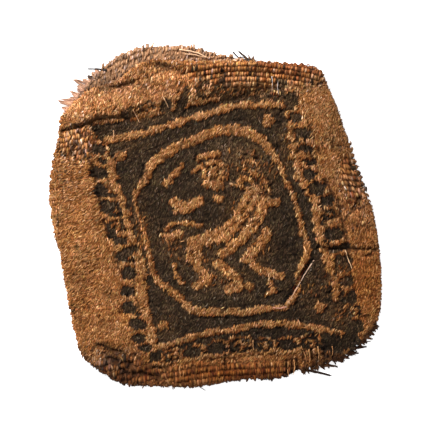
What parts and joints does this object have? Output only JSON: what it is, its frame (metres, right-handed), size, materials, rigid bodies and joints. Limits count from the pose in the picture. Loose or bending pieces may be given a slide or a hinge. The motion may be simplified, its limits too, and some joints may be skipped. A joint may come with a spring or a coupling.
{
  "type": "textile fragment",
  "caption": "Torn square of ribbed wool tapestry lying flat, with tan margins, a rolled upper edge, a pale layer behind it and frayed corners.",
  "frame": {"origin": "middle of the cloth's outline, on the surface that it lies on", "axes": "+X to the right of the face, +Y up the face, +Z out of the face"},
  "size_m": [0.0867, 0.089, 0.0052],
  "materials": {
    "tapestry_wool": "matt old wool, tan with a dark brown woven square",
    "pale_wool": "matt pale faded wool"
  },
  "bodies": {
    "root": {"tapestry_sheet": "tapestry_wool", "backing_cloth": "pale_wool", "fray_upper_left": "pale_wool", "fray_lower_right": "tapestry_wool", "fray_bottom": "tapestry_wool", "fray_top": "pale_wool"}
  },
  "joints": []
}
